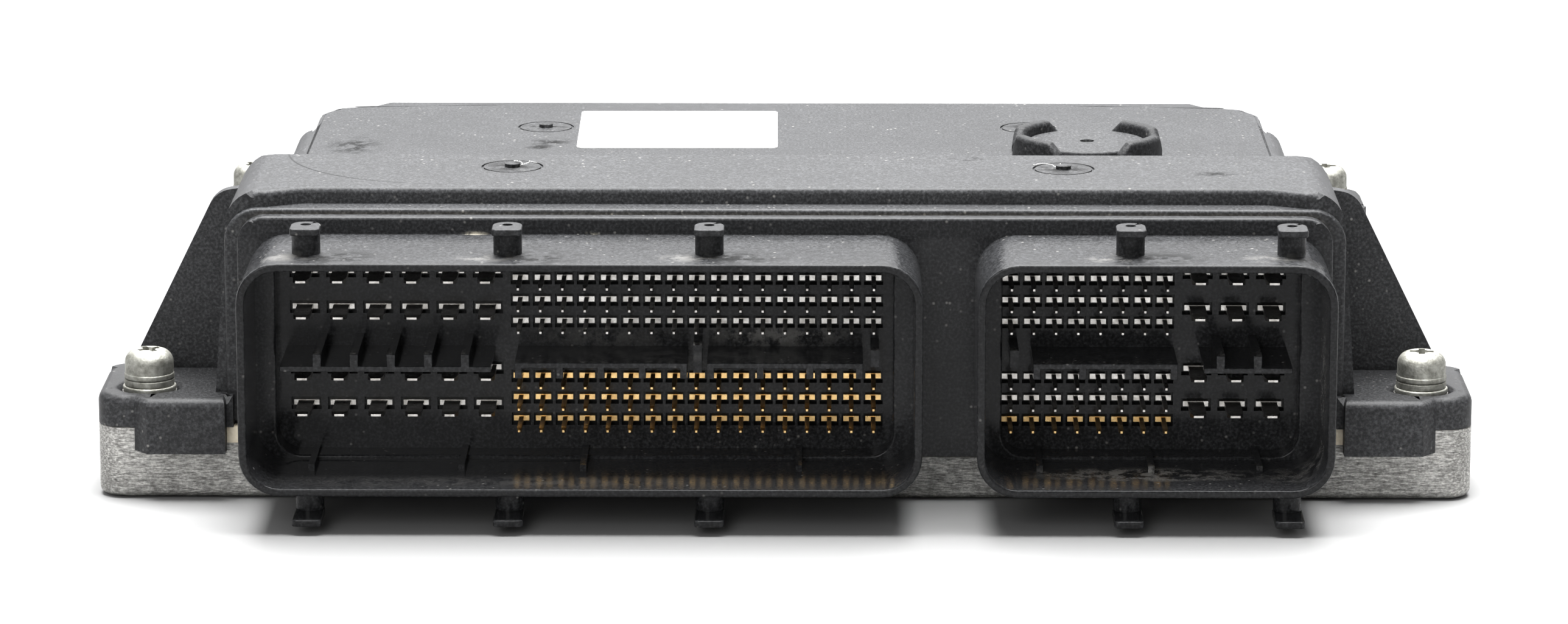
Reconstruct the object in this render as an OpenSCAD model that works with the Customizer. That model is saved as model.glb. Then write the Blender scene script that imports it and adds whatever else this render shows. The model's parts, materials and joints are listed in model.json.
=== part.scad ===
// Engine control unit: die-cast base, moulded cover and a pin header with two bays.
// X runs across the unit, -Y is the connector side, Z is up from the underside.

/* [Base] */
// Depth from the front face to the back of the rear lugs
base_d = 153; // [140:0.5:175]
// Height of the rim and lugs that the cover sits on
rim_h = 10.4; // [9.4:0.1:13]
// Distance the tray stands out from the cover on each side
rim_out = 2.5; // [2:0.1:4]
// Distance the front lugs stand out from the cover on each side
front_lug_out = 16.7; // [15:0.1:20]
// Distance the rear lugs stand out from the cover on each side
rear_lug_out = 12.6; // [11.4:0.1:16]
// Depth of a front lug
front_lug_d = 21; // [20.2:0.2:26]
// Depth of a rear lug
rear_lug_d = 21; // [19:0.5:24]
// Distance the rear lugs stand out behind the tray
lug_back = 1.5; // [1:0.1:2.5]
// Plan radius of the lug corners
lug_r = 4; // [2:0.5:6]
// Thickness of the tray floor
floor_t = 3.5; // [2.5:0.1:4.5]
// Width of the rim round the tray
rim_t = 7; // [6.3:0.1:8]
// Radius of the bosses that carry the washers
boss_r = 3.9; // [3.5:0.05:4.4]
// Radius of the board posts
post_r = 4; // [3:0.1:5]

/* [Cover] */
// Wall thickness of the cover
wall = 2.2; // [1.6:0.1:2.6]
// Distance the cover stands out from the header frame on each side
cover_margin = 2; // [1.6:0.1:3]
// Amount the rear section narrows on each side towards its top
rear_draft = 3; // [1:0.1:4]
// Amount the raised block narrows on each side towards its top
block_draft = 2.4; // [1:0.1:4]
// Height of the rear section above the seat
rear_h = 19.6; // [16:0.2:22]
// Height of the raised block above the frame
block_up = 2.36; // [1.6:0.02:4]
// Depth of the flat top of the raised block
block_d = 25.2; // [22:0.2:34]
// Run of the back wall of the raised block
slope_d = 1.2; // [0.4:0.1:4]
// Distance from the back of the cover to the back of the base
back_in = 5.5; // [5:0.1:8]
// Distance the cover corners stand forward of its back
back_step = 3.6; // [2:0.1:6]
// Depth of the narrower back part of the rear section
waist_d = 24.5; // [20:0.5:32]
// Amount the rear section narrows there on each side
waist_in = 5.2; // [4:0.1:6]
// Thickness of the seat flange
flange_t = 2.5; // [1.5:0.1:3.5]
// Thickness of the corner ears
ear_t = 4.6; // [4.1:0.1:6]
// Width of the tab that hangs over the base at each front ear
tab_w = 13.2; // [10:0.2:14.6]
// Thickness of that tab
tab_t = 2.5; // [1.5:0.1:3.5]
// Height of that tab below the ear top
tab_h = 8; // [6:0.2:10]
// Distance from the base front to the gusset plates
gusset_y = 17.8; // [15:0.2:18.4]
// Thickness of the gusset plates
gusset_t = 2.2; // [1.5:0.1:2.6]
// Depth of the frame round the header in front of the raised block
frame_d = 3.8; // [3:0.1:4.5]
// Distance the frame stands out from the header flange on each side
frame_margin = 2; // [1.6:0.1:3]
// Corner radius of the frame
frame_r = 4.8; // [3:0.2:7]

/* [Connector header] */
// Height of the shrouds
shroud_h = 33.4; // [30:0.1:38]
// Length of the shrouds in front of the flange
shroud_l = 20.4; // [16:0.2:24]
// Wall of the shrouds at the rim
shroud_wall = 1.15; // [0.9:0.05:1.5]
// Outer corner radius of the shrouds
shroud_r = 5.8; // [4.5:0.1:7]
// Gap between the bays
bay_gap = 7.6; // [6:0.1:9]
// Distance from the power tabs' field to the outside of its bay
power_margin = 5.25; // [4.8:0.05:7]
// Distance from the signal pins' field to the outside of the left bay
left_margin = 5.17; // [4.8:0.01:7]
// Distance from the signal pins' field to the outside of the right bay
right_margin = 3.6; // [3.4:0.1:6]
// Gap between the signal pins' field and the power tabs' field
field_gap = 0.45; // [0.2:0.05:2]
// Distance the header flange stands out from the bays on each side
plate_margin = 1.2; // [0.8:0.1:2]
// Thickness of the header flange
plate_t = 1.8; // [1.4:0.1:2.4]
// Distance the header flange stands in front of the base
plate_out = 1; // [0.6:0.1:1.6]
// Corner radius of the header flange
plate_r = 4; // [2:0.2:6]
// Thickness of the sealant between flange and frame
sealant_t = 0.6; // [0.3:0.05:1]
// Thickness of the wall that holds the pins
pin_wall = 6; // [4:0.2:8]
// Inward step of the bay walls next to the pin wall
bay_step = 2.8; // [1:0.1:3.1]
// Depth of that step
step_d = 4.5; // [2:0.1:5]
// Diameter of the lever pegs
peg_d = 4; // [3.6:0.1:5]
// Length of the lever pegs
peg_l = 4.1; // [3.2:0.1:4.4]
// Thickness of the peg caps
peg_cap_t = 1; // [0.6:0.1:1.4]

/* [Pins] */
// Pitch of the signal pins
signal_pitch = 3.15; // [2.8:0.01:3.5]
// Pitch of the power tabs
power_pitch = 5.23; // [4.6:0.01:5.8]
// Columns of signal pins in the left bay
left_cols = 17; // [10:1:24]
// Columns of signal pins in the right bay
right_cols = 8; // [7:1:16]
// Columns of power tabs in the left bay
left_power_cols = 6; // [2:1:8]
// Columns of power tabs in the right bay
right_power_cols = 3; // [2:1:6]
// Section of the signal pins
pin_s = 0.64; // [0.5:0.02:0.76]
// Width of the power tabs
tab_pin_w = 2.3; // [1.8:0.1:2.8]
// Length of the pins in front of the pin wall
pin_l = 7.6; // [6:0.1:9]

/* [Fasteners] */
// Radius of the cover screws
screw_r = 2; // [1.8:0.05:2.2]
// Radius of the cover screw heads
head_r = 3.5; // [3.1:0.05:3.9]
// Height of the cover screw heads
head_h = 3.35; // [2.6:0.05:3.7]
// Length of the cover screws under the head
screw_l = 12; // [9:0.5:12.5]
// Thickness of the spring washers
spring_t = 1; // [0.8:0.05:1.3]
// Thickness of the flat washers
washer_t = 0.8; // [0.5:0.05:1]

/* [Breather] */
// Radius of the breather cap
vent_r = 9.5; // [8.4:0.05:10.6]
// Thickness of the breather cap
vent_t = 2; // [1.5:0.1:2.6]
// Radius of the hole in the breather cap
vent_hole_r = 1.15; // [0.8:0.05:1.6]
// Thickness of the guard claws
claw_t = 2.1; // [1.5:0.1:2.5]
// Height of the guard claws
claw_h = 3.6; // [2.6:0.1:4.4]
// Angle that each guard claw covers
claw_angle = 59; // [45:1:68]
// Slope of the claw ends, measured down from the top
claw_slope = 1.8; // [1:0.1:2.4]

/* [Circuit board] */
// Gap between the board and the rim on each side
board_gap = 3.5; // [2:0.1:6]
// Thickness of the board
board_t = 1.6; // [1:0.1:2]
// Width of the microcontroller
mcu_w = 24; // [16:0.5:28]
// Width of a driver chip
driver_w = 12; // [8:0.5:14]
// Depth of a driver chip
driver_d = 10; // [7:0.5:12]
// Height of the chip packages
chip_h = 2.6; // [1.4:0.1:4]
// Diameter of the capacitors
cap_d = 10; // [8:0.5:12]
// Height of the capacitors
cap_h = 12.5; // [8:0.5:13.5]
// Width of the inductor
coil_w = 12.5; // [8:0.5:14]
// Thickness of the thermal pads
pad_t = 1; // [0.5:0.1:1.5]

/* [Label] */
// Width of the label
label_w = 32; // [26:0.5:36]
// Depth of the label
label_d = 30.8; // [24:0.2:34]
// Thickness of the label
label_t = 0.15; // [0.1:0.05:0.3]

/* [Hidden] */
$fn = 48;

// Overshoot of cutting shapes
eps = 1;
// Gap between parts that fit in each other
fit = 0.2;

// Widths, worked out from the pin fields outwards
left_signal_w = left_cols * signal_pitch;
right_signal_w = right_cols * signal_pitch;
left_power_w = left_power_cols * power_pitch;
right_power_w = right_power_cols * power_pitch;
left_bay_w = power_margin + left_power_w + field_gap + left_signal_w + left_margin;
right_bay_w = right_margin + right_signal_w + field_gap + right_power_w + power_margin;
bays_w = left_bay_w + bay_gap + right_bay_w;
plate_w = bays_w + 2 * plate_margin;
frame_w = plate_w + 2 * frame_margin;
cover_w = frame_w + 2 * cover_margin;
body_w = cover_w + 2 * rim_out;
base_w = cover_w + 2 * front_lug_out;
rear_w = cover_w + 2 * rear_lug_out;
core_w = frame_w - 8.6;

// Bays: centres, and centres of the signal and power fields
bay_shift = 0.4;
left_bay_x = bay_shift - bays_w / 2 + left_bay_w / 2;
right_bay_x = bay_shift + bays_w / 2 - right_bay_w / 2;
left_power_x = left_bay_x - left_bay_w / 2 + power_margin + left_power_w / 2;
left_signal_x = left_bay_x + left_bay_w / 2 - left_margin - left_signal_w / 2;
right_signal_x = right_bay_x - right_bay_w / 2 + right_margin + right_signal_w / 2;
right_power_x = right_bay_x + right_bay_w / 2 - power_margin - right_power_w / 2;

// Heights
shroud_z = rim_h - 4.85;
ear_top = rim_h + ear_t;
boss_top = ear_top - 0.6;
rear_top = rim_h + rear_h;
shroud_top = shroud_z + shroud_h;
bay_mid_z = shroud_z + shroud_h / 2;
plate_top = shroud_top + 2.45;
frame_top = plate_top + 0.7;
block_top = frame_top + block_up;
core_top = plate_top - 1.5;
plate_bottom = shroud_z + 0.95;
seat_z = plate_bottom - 0.3;
sill_z = rim_h - 2.3;

// Places along Y, measured back from the front face of the base
plate_front = -plate_out;
plate_back = plate_front + plate_t;
rim_y = plate_front - shroud_l;
floor_y = plate_back + fit;
slot_d = 1.2;
header_back = floor_y + pin_wall;
frame_y = plate_back + sealant_t;
hood_y = frame_y + 1.2;
recess_y = frame_y + frame_d;
block_back = recess_y + block_d;
body_d = base_d - lug_back;
cover_back = base_d - back_in;
waist_y = cover_back - waist_d;

// Places of the cover screws
front_screw = [base_w / 2 - 7.1, 6.6];
rear_screw = [rear_w / 2 - 6.3, base_d - 10];
screw_places = [
  for (p = [front_screw, rear_screw]) for (s = [-1, 1]) [s * p.x, p.y]
];
ear_hole_r = boss_r + 0.25;
washer_r = boss_r - 0.05;

// Rows of pins
signal_upper_z = bay_mid_z + 6.75;
signal_lower_z = bay_mid_z - 7.6;
power_upper_z = bay_mid_z + 8.25;
power_lower_z = bay_mid_z - 5.85;
signal_rows = [
  for (g = [signal_upper_z, signal_lower_z]) for (i = [1, 0, -1]) g + i * signal_pitch
];
power_rows = [
  for (g = [power_upper_z, power_lower_z]) for (i = [0.5, -0.5]) g + i * power_pitch
];
shelf_z = bay_mid_z - 0.8;
shelf_t = 0.8;
power_shelf_y = floor_y - 13.5;
signal_shelf_y = floor_y - 11;
signal_slot = [signal_pitch - 0.4, 1.85];
power_slot = [power_pitch - 0.93, 1.85];

// Pin sections and tails
shoulder_h = 0.75;
signal_shoulder_w = signal_slot.x - 0.55;
power_shoulder_w = power_slot.x - 0.7;
shoulder_y = floor_y + 0.5;
pin_tip_y = floor_y - pin_l;
pin_tip_l = 0.9;
pin_tip_s = 0.3;
pin_gap = 0.03;
first_tail_y = header_back + 7;
signal_tail_step = 2.5;
power_tail_step = 3.75;
tail_below = 0.9;
tail_hole_r = 0.6;
power_tail_w = 0.8;

// Lever pegs: places along X
left_pegs = [for (i = [-1, 0, 1]) left_bay_x + left_bay_w * (0.295 * i - 0.107)];
right_pegs = [for (s = [-1, 1]) right_bay_x + right_bay_w * (0.225 * s + 0.153)];
peg_y = rim_y + 7.4;
cap_front = 3.5;
foot_front = 7.3;
lower_peg_l = peg_l + 0.3;

// Seal between cover and base
groove_w = 2.6;
groove_h = 2.8;
tongue_w = 1.4;
tongue_h = 1.8;
groove_x = cover_w / 2 - 1;
groove_back = cover_back - 0.5;
groove_front = hood_y + 1.5;
groove_r = 5;

// Circuit board
board_z = rim_h - 2.4;
board_top = board_z + board_t;
board_front = header_back + 5;
board_w = body_w - 2 * rim_t - 2 * board_gap;
board_back = body_d - rim_t - 5;
board_d = board_back - board_front;
pin_bottom = board_z - tail_below;
post_x = board_w / 2 - post_r - 2;
post_ys = [board_front + 34, board_back - post_r - 4];
board_screw_r = 0.75 * screw_r;
board_head_r = 2.75;
post_hole_r = board_screw_r + 0.05;
board_hole_r = board_screw_r + 0.2;
driver_ys = [for (k = [0.46, 0.6]) board_front + k * board_d];
driver_step = driver_w + 10;
driver_xs = [for (i = [-1.5, -0.5, 0.5, 1.5]) i * driver_step];
mcu_y = driver_ys[0] - driver_d / 2 - mcu_w / 2 - 2.5;
supply_y = driver_ys[1] + driver_d / 2 + 14;

// Breather and label places
vent_place = [cover_w / 2 - 34.7, cover_back - 42.9];
label_place = [-17.9, cover_back - 24.1];
label_turn = 0.5;
claw_r = vent_r + 0.35;
film_r = vent_r - 3.5;
film_t = 0.3;
gate_places = [[-39.7, recess_y + 15.4], [40.3, recess_y + 14.4]];
rear_gate_places = [for (x = [-39.4, 38.6]) [x, cover_back - 21.7]];
gate_r = 4.5;

// Points of one corner rounded to radius r
function unit(v) = v / norm(v);
function corner(a, b, c, r, n) = r <= 0 ? [b] :
  let (
    u = unit(a - b),
    v = unit(c - b),
    half = acos(u * v) / 2,
    centre = b + unit(u + v) * r / sin(half),
    p = b + u * r / tan(half) - centre,
    q = b + v * r / tan(half) - centre,
    start = atan2(p.y, p.x),
    sweep = (atan2(q.y, q.x) - start + 540) % 360 - 180
  )
  [for (i = [0:n]) centre + r * [cos(start + sweep * i / n), sin(start + sweep * i / n)]];

// Outline with a radius for each corner
function rounded(pts, radii, n = 7) = let (last = len(pts)) [
  for (i = [0:last - 1])
    each corner(pts[(i + last - 1) % last], pts[i], pts[(i + 1) % last], radii[i], n)
];

function box_pts(x0, x1, y0, y1) = [[x0, y0], [x1, y0], [x1, y1], [x0, y1]];

module round_box(x0, x1, y0, y1, r) {
  polygon(rounded(box_pts(x0, x1, y0, y1), [r, r, r, r]));
}

// Moves the working frame to the front face of the base
module from_front() {
  translate([0, -base_d / 2, 0]) children();
}

// Extrudes an outline drawn in X and Z from y0 back to y1
module along_y(y0, y1) {
  translate([0, y1, 0]) rotate([90, 0, 0]) linear_extrude(y1 - y0) children();
}

// Extrudes an outline drawn in Y and Z to half-width w on both sides
module along_x(w) {
  translate([-w, 0, 0]) rotate([90, 0, 90]) linear_extrude(2 * w) children();
}

// Extrudes an outline drawn in X and Y from z0 up to z1
module along_z(z0, z1) {
  translate([0, 0, z0]) linear_extrude(z1 - z0) children();
}

module both_sides() {
  children();
  mirror([1, 0, 0]) children();
}

// Ring of the sealing groove with a given width
module seal_path(w) {
  difference() {
    round_box(-groove_x - w / 2, groove_x + w / 2, groove_front, groove_back + w / 2, groove_r);
    round_box(-groove_x + w / 2, groove_x - w / 2, groove_front - eps, groove_back - w / 2, groove_r - w / 2);
  }
}

// Plan of the base with its lugs
module base_plan() {
  round_box(-base_w / 2, base_w / 2, 0, front_lug_d, lug_r);
  translate([-body_w / 2, lug_r]) square([body_w, body_d - lug_r]);
  both_sides()
    round_box(cover_w / 2 - 6, rear_w / 2, base_d - rear_lug_d, base_d, lug_r + 1);
}

module base_tray() {
  difference() {
    along_z(0, rim_h) base_plan();
    along_z(floor_t, rim_h + eps)
      round_box(-body_w / 2 + rim_t, body_w / 2 - rim_t, header_back + 2, body_d - rim_t - 1.5, 3);
    // Seat of the header and its sealant
    translate([-plate_w / 2 - 0.1, -eps, seat_z])
      cube([plate_w + 0.2, frame_y + eps, rim_h]);
    translate([-core_w / 2, 0, seat_z])
      cube([core_w, header_back + 4, rim_h]);
    both_sides() translate([0, -eps, sill_z])
      cube([frame_w / 2, hood_y + eps, rim_h]);
    along_z(rim_h - groove_h, rim_h + eps) seal_path(groove_w);
  }
}

// Columns that stand on the tray: washer bosses, board posts and driver pedestals
module base_columns() {
  for (p = screw_places) translate([p.x, p.y, 0]) cylinder(r = boss_r, h = boss_top);
  for (x = [-post_x, post_x]) for (y = post_ys)
    translate([x, y, 0]) cylinder(r = post_r, h = board_z);
  translate([driver_xs[0] - driver_w / 2 - 2, driver_ys[0] - driver_d / 2 - 2, 0])
    cube([
      driver_xs[3] - driver_xs[0] + driver_w + 4,
      driver_ys[1] - driver_ys[0] + driver_d + 4,
      board_z - pad_t
    ]);
}

module base() {
  color("#9a9a98") from_front() difference() {
    union() {
      base_tray();
      base_columns();
    }
    for (p = screw_places)
      translate([p.x, p.y, floor_t]) cylinder(r = screw_r + 0.05, h = boss_top);
    for (x = [-post_x, post_x]) for (y = post_ys)
      translate([x, y, floor_t]) cylinder(r = post_hole_r, h = board_z);
  }
}

// Section of a cover body across X: half-width, draft, top and radius, inset by t
module cover_section(draft, top, r, t) {
  h = cover_w / 2 - t;
  polygon(rounded(
    [[-h, rim_h], [h, rim_h], [h - draft, top - t], [-h + draft, top - t]],
    [0, 0, max(r - t, 0.5), max(r - t, 0.5)]
  ));
}

// Plan of the rear section, inset by t
module rear_plan(t) {
  h = cover_w / 2 - t;
  back = cover_back - t;
  step_x = cover_w / 2 - 13.2;
  polygon(rounded(
    [
      [-h, hood_y + t], [h, hood_y + t], [h, waist_y - t], [h - waist_in, waist_y - t],
      [h - waist_in, back - back_step], [step_x - t, back - back_step], [step_x - 2.5 - t, back],
      [-step_x + 2.5 + t, back], [-step_x + t, back - back_step], [-h + waist_in, back - back_step],
      [-h + waist_in, waist_y - t], [-h, waist_y - t]
    ],
    [0, 0, waist_in - 0.7, 0.6, 9 - t, 1.5, 1.5, 1.5, 1.5, 9 - t, 0.6, waist_in - 0.7]
  ));
}

// Side section of the raised block, inset by t
module block_side(t) {
  polygon([
    [hood_y + t, rim_h], [hood_y + t, block_top - t], [block_back - t, block_top - t],
    [block_back + slope_d - t, rear_top - t], [block_back + slope_d - t, rim_h]
  ]);
}

// Plan of the raised block with rounded back corners, inset by t
module block_plan(t) {
  h = cover_w / 2 - t;
  polygon(rounded(
    box_pts(-h, h, hood_y + t, block_back + slope_d - t),
    [0, 0, 9 - t, 9 - t]
  ));
}

// Body of the cover as one solid, inset by t
module cover_body(t) {
  intersection() {
    along_y(0, base_d) cover_section(rear_draft, rear_top, 3, t);
    along_z(rim_h, rear_top) rear_plan(t);
  }
  intersection() {
    along_y(0, base_d) cover_section(block_draft, block_top, 5, t);
    along_x(base_w / 2) block_side(t);
    along_z(rim_h, block_top) block_plan(t);
  }
}

// Frame that stands forward of the raised block round the header
module header_frame() {
  along_y(frame_y, recess_y + wall) polygon(rounded(
    box_pts(-frame_w / 2, frame_w / 2, rim_h + 0.7, frame_top),
    [0, 0, frame_r, frame_r]
  ));
}

// Front ears with their tabs, and rear ears
module cover_ears() {
  inner_x = cover_w / 2 - 3;
  tab_out = frame_w / 2 + tab_w;
  both_sides() {
    along_z(rim_h, ear_top) round_box(inner_x, base_w / 2, 0, front_lug_d, lug_r);
    along_z(rim_h, ear_top)
      round_box(inner_x - 3, rear_w / 2, base_d - rear_lug_d, base_d, lug_r + 1);
    along_z(rim_h, ear_top) translate([inner_x, 0]) square([lug_r + 2, lug_r + 2]);
    along_z(ear_top - tab_h, ear_top) polygon([
      [frame_w / 2, 0], [frame_w / 2, -tab_t], [tab_out - 2, -tab_t], [tab_out, 0]
    ]);
  }
}

// Upright plates between the raised block and the ears
module gussets() {
  foot_x = base_w / 2 - 3.1;
  side_x = cover_w / 2 - 3.5;
  both_sides() along_y(gusset_y, gusset_y + gusset_t) polygon(rounded(
    [
      [side_x, ear_top - 1], [foot_x, ear_top - 1], [foot_x - 1.4, ear_top + 2.8],
      [cover_w / 2 + 0.6, block_top - 3.2], [side_x, block_top - 2.6]
    ],
    [0, 0, 0, 4, 0]
  ));
}

// One guard claw of the breather on the +X axis, with sloped ends
module guard_claw() {
  q = claw_slope * sqrt(2);
  difference() {
    rotate(-claw_angle / 2) rotate_extrude(angle = claw_angle)
      translate([claw_r, 0]) square([claw_t, claw_h + 0.2]);
    for (s = [-1, 1]) rotate(s * claw_angle / 2) translate([claw_r - eps, 0, claw_h + 0.2])
      rotate([45, 0, 0]) translate([0, -q / 2, -q / 2]) cube([claw_t + 2 * eps, q, q]);
  }
}

// Four guard claws, with wider gaps in front and behind
module guard_claws() {
  lean = 36.5;
  translate([vent_place.x, vent_place.y, rear_top - 0.2])
    for (a = [lean, 180 - lean, 180 + lean, 360 - lean]) rotate(a) guard_claw();
}

// Gate mark: a ring groove with a stub in the middle
module gate_groove(z) {
  translate([0, 0, z - 0.25]) difference() {
    cylinder(r = gate_r, h = eps);
    cylinder(r = gate_r - 0.35, h = eps);
  }
}

module gate_stub(z) {
  translate([0, 0, z - 0.2]) cylinder(r = 1.1, h = 0.7);
}

module cover() {
  hood_recess_x = cover_w / 2 - 13;
  ramp_x = hood_recess_x + 5;
  color("#26282a") from_front() difference() {
    union() {
      difference() {
        union() {
          cover_body(0);
          // Seat flange
          along_z(rim_h, rim_h + flange_t)
            round_box(-cover_w / 2 - 1.5, cover_w / 2 + 1.5, hood_y, cover_back + 2, 5);
          header_frame();
          cover_ears();
          gussets();
        }
        intersection() {
          cover_body(wall);
          translate([-base_w / 2, recess_y + wall, rim_h - eps]) cube([base_w, base_d, block_top]);
        }
        along_z(rim_h - eps, rim_h + eps) intersection() {
          rear_plan(wall);
          translate([-base_w / 2, recess_y + wall]) square([base_w, base_d]);
        }
        // Opening for the header
        translate([-core_w / 2, -tab_t - eps, 0])
          cube([core_w, recess_y + wall + tab_t + 2 * eps, core_top]);
        // Stepped recess above the frame
        along_z(frame_top, block_top + eps) polygon(rounded(
          [
            [-ramp_x, 0], [ramp_x, 0], [ramp_x, hood_y],
            [hood_recess_x, recess_y], [-hood_recess_x, recess_y], [-ramp_x, hood_y]
          ],
          [0, 0, 0, 3, 3, 0]
        ));
      }
      along_z(rim_h - tongue_h, rim_h + 0.1) seal_path(tongue_w);
      guard_claws();
      for (p = gate_places) translate([p.x, p.y, 0]) gate_stub(block_top);
      for (p = rear_gate_places) translate([p.x, p.y, 0]) gate_stub(rear_top);
    }
    for (p = screw_places)
      translate([p.x, p.y, 0]) cylinder(r = ear_hole_r, h = block_top);
    for (p = gate_places) translate([p.x, p.y, 0]) gate_groove(block_top);
    for (p = rear_gate_places) translate([p.x, p.y, 0]) gate_groove(rear_top);
    translate([vent_place.x, vent_place.y, rim_h]) cylinder(r = 4, h = block_top);
  }
}

// Outline of one bay in X and Z: outer face, mouth and inner step
module bay_outer(x, w) {
  round_box(x - w / 2, x + w / 2, shroud_z, shroud_top, shroud_r);
}

module bay_mouth(x, w) {
  t = shroud_wall;
  round_box(x - w / 2 + t, x + w / 2 - t, shroud_z + t, shroud_top - t, shroud_r - t);
}

module bay_inner(x, w) {
  t = shroud_wall + bay_step;
  low = shroud_wall + 0.5;
  round_box(x - w / 2 + t, x + w / 2 - t, shroud_z + low, shroud_top - low, 3.3);
}

module all_bays_inner() {
  bay_inner(left_bay_x, left_bay_w);
  bay_inner(right_bay_x, right_bay_w);
}

module shroud(x, w) {
  along_y(rim_y, plate_front) difference() {
    bay_outer(x, w);
    bay_mouth(x, w);
  }
  along_y(floor_y - step_d, plate_front) difference() {
    bay_outer(x, w);
    bay_inner(x, w);
  }
}

module header_plate() {
  round_box(-plate_w / 2, plate_w / 2, plate_bottom, plate_top, plate_r);
}

module header_core() {
  translate([-core_w / 2 + fit, plate_bottom])
    square([core_w - 2 * fit, core_top - fit - plate_bottom]);
}

// Places a rectangle at every pin of a field
module at_pins(x, cols, pitch, rows, w, h) {
  for (i = [0:cols - 1]) for (z = rows)
    translate([x + (i - (cols - 1) / 2) * pitch - w / 2, z - h / 2]) square([w, h]);
}

module all_signal(w, h) {
  at_pins(left_signal_x, left_cols, signal_pitch, signal_rows, w, h);
  at_pins(right_signal_x, right_cols, signal_pitch, signal_rows, w, h);
}

module all_power(w, h) {
  at_pins(left_power_x, left_power_cols, power_pitch, power_rows, w, h);
  at_pins(right_power_x, right_power_cols, power_pitch, power_rows, w, h);
}

// Wall that holds the pins: recessed slots in front, close holes behind
module pin_block() {
  along_y(floor_y, floor_y + slot_d) difference() {
    header_core();
    all_signal(signal_slot.x, signal_slot.y);
    all_power(power_slot.x, power_slot.y);
  }
  along_y(floor_y + slot_d, header_back) difference() {
    header_core();
    all_signal(pin_s + 2 * pin_gap, pin_s + 2 * pin_gap);
    all_power(tab_pin_w + 2 * pin_gap, pin_s + 2 * pin_gap);
  }
}

// Shelf between upper and lower rows from x0 to x1, reaching forward to y
module shelf(x0, x1, y) {
  translate([x0, y, shelf_z]) cube([x1 - x0, floor_y - y, shelf_t]);
}

module power_shelf(x, cols, short_left, short_right) {
  half = cols * power_pitch / 2;
  shelf(x - half + short_left, x + half - short_right, power_shelf_y);
  for (i = [1:cols - 1])
    translate([x - half + i * power_pitch - 0.6, power_shelf_y, shelf_z])
      cube([1.2, floor_y - power_shelf_y, 2.6]);
}

module signal_shelf(x0, x1, teeth) {
  shelf(x0, x1, signal_shelf_y);
  gap = (x1 - x0 - 1) / (teeth - 1);
  for (i = [0:teeth - 1])
    translate([x0 + i * gap, signal_shelf_y, shelf_z - 1.5])
      cube([1, floor_y - signal_shelf_y, 1.6]);
}

// Low ribs on the lower wall of the bays
module bay_rib(x) {
  low = plate_bottom + 0.1;
  translate([x - 0.45, floor_y - 12, low]) cube([0.9, 12, shroud_z + shroud_wall + 1 - low]);
}

module shelves_and_ribs() {
  key_x = left_signal_x + 0.2;
  power_shelf(left_power_x, left_power_cols, 0, 1.6);
  power_shelf(right_power_x, right_power_cols, 2.9, 0.3);
  signal_shelf(left_signal_x - left_signal_w / 2 + 1.2, key_x - 1.4, 5);
  signal_shelf(key_x + 1.4, left_signal_x + left_signal_w / 2 - 3.1, 4);
  signal_shelf(right_signal_x - right_signal_w / 2 + 4.6, right_signal_x + right_signal_w / 2 - 0.2, 4);
  // Keys between and beside the shelves
  translate([key_x - 0.6, signal_shelf_y + 4, shelf_z - 1.5])
    cube([1.2, floor_y - signal_shelf_y - 4, 4]);
  for (x = [left_signal_x + left_signal_w / 2 - 1.4, right_signal_x - right_signal_w / 2 + 2])
    translate([x - 0.6, signal_shelf_y + 3, shelf_z - 0.4])
      cube([1.2, floor_y - signal_shelf_y - 3, 2.4]);
  for (k = [-0.402, -0.18, 0, 0.319]) bay_rib(left_bay_x + k * left_bay_w);
  for (k = [-0.317, -0.002, 0.303]) bay_rib(right_bay_x + k * right_bay_w);
}

// Lever peg that stands up from z, with a cap reaching forward
module peg(front, length) {
  cap_w = peg_d + 0.2;
  difference() {
    union() {
      translate([0, 0, -0.6]) cylinder(d = peg_d, h = length + 0.6 - peg_cap_t / 2);
      translate([0, 0, length - peg_cap_t]) linear_extrude(peg_cap_t) {
        circle(d = peg_d + 0.2);
        polygon(rounded(box_pts(-cap_w / 2, cap_w / 2, -front, 0), [0.7, 0.7, 0, 0], 4));
      }
    }
    translate([0, 0, length - 2]) cylinder(d = 1.5, h = 2 + eps);
  }
}

module pegs() {
  for (x = concat(left_pegs, right_pegs)) {
    translate([x, peg_y, shroud_top]) peg(cap_front, peg_l);
    translate([x, peg_y, shroud_z]) mirror([0, 0, 1]) peg(foot_front, lower_peg_l);
  }
}

module connector_header() {
  color("#1d1f21") from_front() {
    shroud(left_bay_x, left_bay_w);
    shroud(right_bay_x, right_bay_w);
    along_y(plate_front, plate_back) difference() {
      header_plate();
      all_bays_inner();
    }
    along_y(plate_back, floor_y) difference() {
      header_core();
      all_bays_inner();
    }
    pin_block();
    shelves_and_ribs();
    pegs();
  }
}

// One signal pin with its shoulder, bent down into the board at tail_y
module signal_pin(x, z, tail_y) {
  h = pin_s / 2;
  tip = pin_tip_s / 2;
  intersection() {
    translate([x - h, 0, 0]) rotate([90, 0, 90]) linear_extrude(pin_s) polygon([
      [pin_tip_y, z - tip], [pin_tip_y + pin_tip_l, z - h], [tail_y - h, z - h],
      [tail_y - h, pin_bottom], [tail_y + h, pin_bottom], [tail_y + h, z + h],
      [pin_tip_y + pin_tip_l, z + h], [pin_tip_y, z + tip]
    ]);
    along_z(0, block_top) polygon([
      [x - tip, pin_tip_y], [x + tip, pin_tip_y], [x + h, pin_tip_y + pin_tip_l],
      [x + h, tail_y + h], [x - h, tail_y + h], [x - h, pin_tip_y + pin_tip_l]
    ]);
  }
  translate([x - signal_shoulder_w / 2, shoulder_y, z - shoulder_h / 2])
    cube([signal_shoulder_w, floor_y + slot_d - shoulder_y, shoulder_h]);
}

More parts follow.
